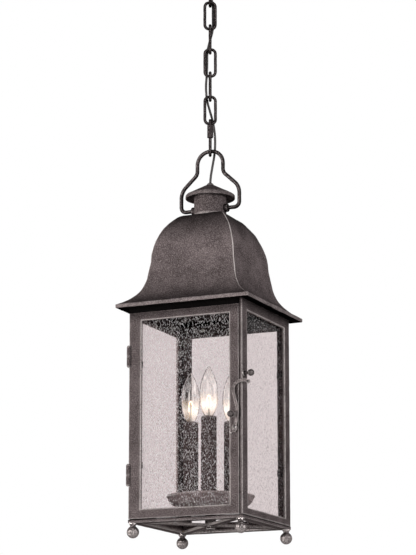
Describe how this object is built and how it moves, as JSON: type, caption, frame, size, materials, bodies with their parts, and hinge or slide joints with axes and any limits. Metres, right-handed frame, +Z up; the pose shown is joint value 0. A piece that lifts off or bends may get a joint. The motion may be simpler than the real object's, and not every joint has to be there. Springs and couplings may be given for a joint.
{
  "type": "hanging lantern",
  "caption": "Square hanging lantern with a bell-shaped roof, seeded glass, a hinged latched door, a bail, a chain and ceiling canopy, and a candle cluster on a dish.",
  "frame": {"origin": "centre of the ceiling crossbar's two slots, on its top face, which lies against the ceiling", "axes": "+Z up, the lantern hangs down -Z; the hinged door faces -Y; +X to the right as the door is faced"},
  "size_m": [0.2359, 0.235, 0.9725],
  "materials": {
    "dark_bronze": "dark bronze, hammered and satin",
    "plated_steel": "plated",
    "seeded_glass": "clear with fine seeds",
    "bulb_glass": "clear",
    "bulb_base": "bright",
    "filament": "glowing",
    "socket_plastic": "moulded",
    "cord_jacket": "smooth dark jacket"
  },
  "bodies": {
    "ceiling_mount": {"ceiling_crossbar": "plated_steel", "nipple_locknut": "dark_bronze", "canopy_nipple": "plated_steel", "ceiling_canopy": "dark_bronze", "canopy_collar": "dark_bronze", "canopy_loop": "dark_bronze"},
    "link_1": {"chain_link_1": "dark_bronze", "cord_stretch_1": "cord_jacket"},
    "link_2": {"chain_link_2": "dark_bronze", "cord_stretch_2": "cord_jacket"},
    "link_3": {"chain_link_3": "dark_bronze", "cord_stretch_3": "cord_jacket"},
    "link_4": {"chain_link_4": "dark_bronze", "cord_stretch_4": "cord_jacket"},
    "link_5": {"chain_link_5": "dark_bronze", "cord_stretch_5": "cord_jacket"},
    "quick": {"quick_link": "dark_bronze", "cord_stretch_6": "cord_jacket"},
    "sleeve": {"quick_link_sleeve": "dark_bronze"},
    "bail_body": {"bail": "dark_bronze", "cord_stretch_7": "cord_jacket"},
    "door": {"door_frame": "dark_bronze", "door_pane": "seeded_glass", "door_clips": "plated_steel", "hinge_door_knuckles": "dark_bronze", "latch_pivot": "dark_bronze"},
    "latch": {"latch_hook": "dark_bronze", "latch_knob": "dark_bronze"},
    "lantern": {"bail_lugs": "dark_bronze", "neck": "dark_bronze", "cap": "dark_bronze", "cord_bushing": "dark_bronze", "roof_shell": "dark_bronze", "left_frame": "dark_bronze", "right_frame": "dark_bronze", "back_frame": "dark_bronze", "front_header": "dark_bronze", "base_frame": "dark_bronze", "hinge_frame_knuckles": "dark_bronze", "hinge_pins": "dark_bronze", "latch_catch": "dark_bronze", "ball_feet": "dark_bronze", "brace_lower": "dark_bronze", "brace_upper": "dark_bronze", "cluster_stem": "dark_bronze", "dish": "dark_bronze", "candle_sleeves": "dark_bronze", "cap_bridge": "plated_steel", "cap_nipple": "plated_steel", "cap_nut": "plated_steel", "roof_screws": "plated_steel", "pane_clips": "plated_steel", "pane_left": "seeded_glass", "pane_right": "seeded_glass", "pane_back": "seeded_glass", "bulb_envelopes": "bulb_glass", "bulb_bases": "bulb_base", "bulb_filaments": "filament", "candle_sockets": "socket_plastic", "cord_stretch_8": "cord_jacket"}
  },
  "joints": [
    {"name": "loop_to_link_1", "type": "hinge", "parent": "ceiling_mount", "child": "link_1", "pos_m": [0, 0, -0.0587], "axis": [-0.4163, 0.9092, 0], "range_deg": [-20, 20], "deforming": ["cord_stretch_1"]},
    {"name": "link_1_to_2", "type": "hinge", "parent": "link_1", "child": "link_2", "pos_m": [0, 0, -0.1006], "axis": [0.9092, 0.4163, 0], "range_deg": [-20, 20], "deforming": ["cord_stretch_2"]},
    {"name": "link_2_to_3", "type": "hinge", "parent": "link_2", "child": "link_3", "pos_m": [0, 0, -0.1425], "axis": [-0.4163, 0.9092, 0], "range_deg": [-20, 20], "deforming": ["cord_stretch_3"]},
    {"name": "link_3_to_4", "type": "hinge", "parent": "link_3", "child": "link_4", "pos_m": [0, 0, -0.1844], "axis": [0.9092, 0.4163, 0], "range_deg": [-20, 20], "deforming": ["cord_stretch_4"]},
    {"name": "link_4_to_5", "type": "hinge", "parent": "link_4", "child": "link_5", "pos_m": [0, 0, -0.2263], "axis": [-0.4163, 0.9092, 0], "range_deg": [-20, 20], "deforming": ["cord_stretch_5"]},
    {"name": "link_5_to_quick", "type": "hinge", "parent": "link_5", "child": "quick", "pos_m": [0, 0, -0.2682], "axis": [0.9092, 0.4163, 0], "range_deg": [-20, 20], "deforming": ["cord_stretch_6"]},
    {"name": "quick_to_bail", "type": "hinge", "parent": "quick", "child": "bail_body", "pos_m": [0, 0, -0.3228], "axis": [-0.4163, 0.9092, 0], "range_deg": [-20, 20], "deforming": ["cord_stretch_7"]},
    {"name": "bail_pivot", "type": "hinge", "parent": "bail_body", "child": "lantern", "pos_m": [0, 0, -0.4175], "axis": [1, 0, 0], "range_deg": [-30, 30], "deforming": ["cord_stretch_8"]},
    {"name": "sleeve_screw", "type": "slide", "parent": "quick", "child": "sleeve", "axis": [0, 0, -1], "range_m": [0, 0.012]},
    {"name": "door_hinge", "type": "hinge", "parent": "lantern", "child": "door", "pos_m": [-0.1003, -0.1003, -0.77], "axis": [0, 0, -1], "range_deg": [0, 115]},
    {"name": "latch_turn", "type": "hinge", "parent": "door", "child": "latch", "pos_m": [0.088, -0.1025, -0.8065], "axis": [0, -1, 0], "range_deg": [0, 45]}
  ]
}
